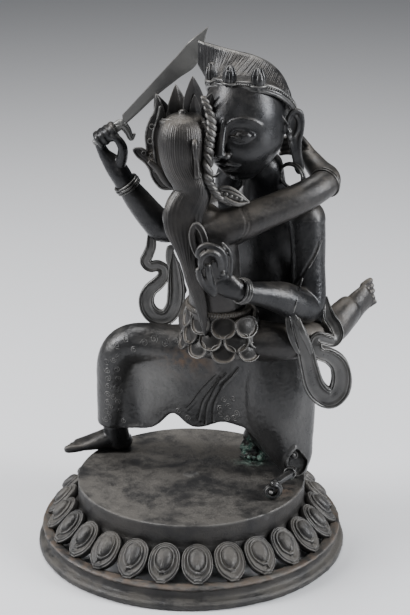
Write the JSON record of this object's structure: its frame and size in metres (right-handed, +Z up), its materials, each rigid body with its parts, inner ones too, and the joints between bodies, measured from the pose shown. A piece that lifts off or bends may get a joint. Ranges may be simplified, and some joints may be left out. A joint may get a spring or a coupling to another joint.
{
  "type": "bronze deity group on lotus plinth",
  "caption": "Cast bronze altar figure of an embracing deity pair, sword raised, standing in a lunge on a round openwork lotus plinth.",
  "frame": {"origin": "bottom centre of the bounding box: on the underside of the plinth ring, at the middle of the whole outline in plan", "axes": "+Z up, +X to the viewer's right as the picture shows the group, +Y away from the viewer"},
  "size_m": [0.2168, 0.2, 0.332],
  "materials": {
    "plinth_bronze": "aged cast bronze, dusty grey-brown with verdigris and worn edges",
    "dark_bronze": "near-black patina with a waxed sheen, incised borders",
    "consort_bronze": "near-black patina, dusty brown on the upper surfaces",
    "sword_bronze": "satin, paler and flatter than the figures"
  },
  "bodies": {
    "root": {"lotus_plinth": "plinth_bronze", "male_deity": "dark_bronze", "consort": "consort_bronze", "sword": "sword_bronze"}
  },
  "joints": []
}
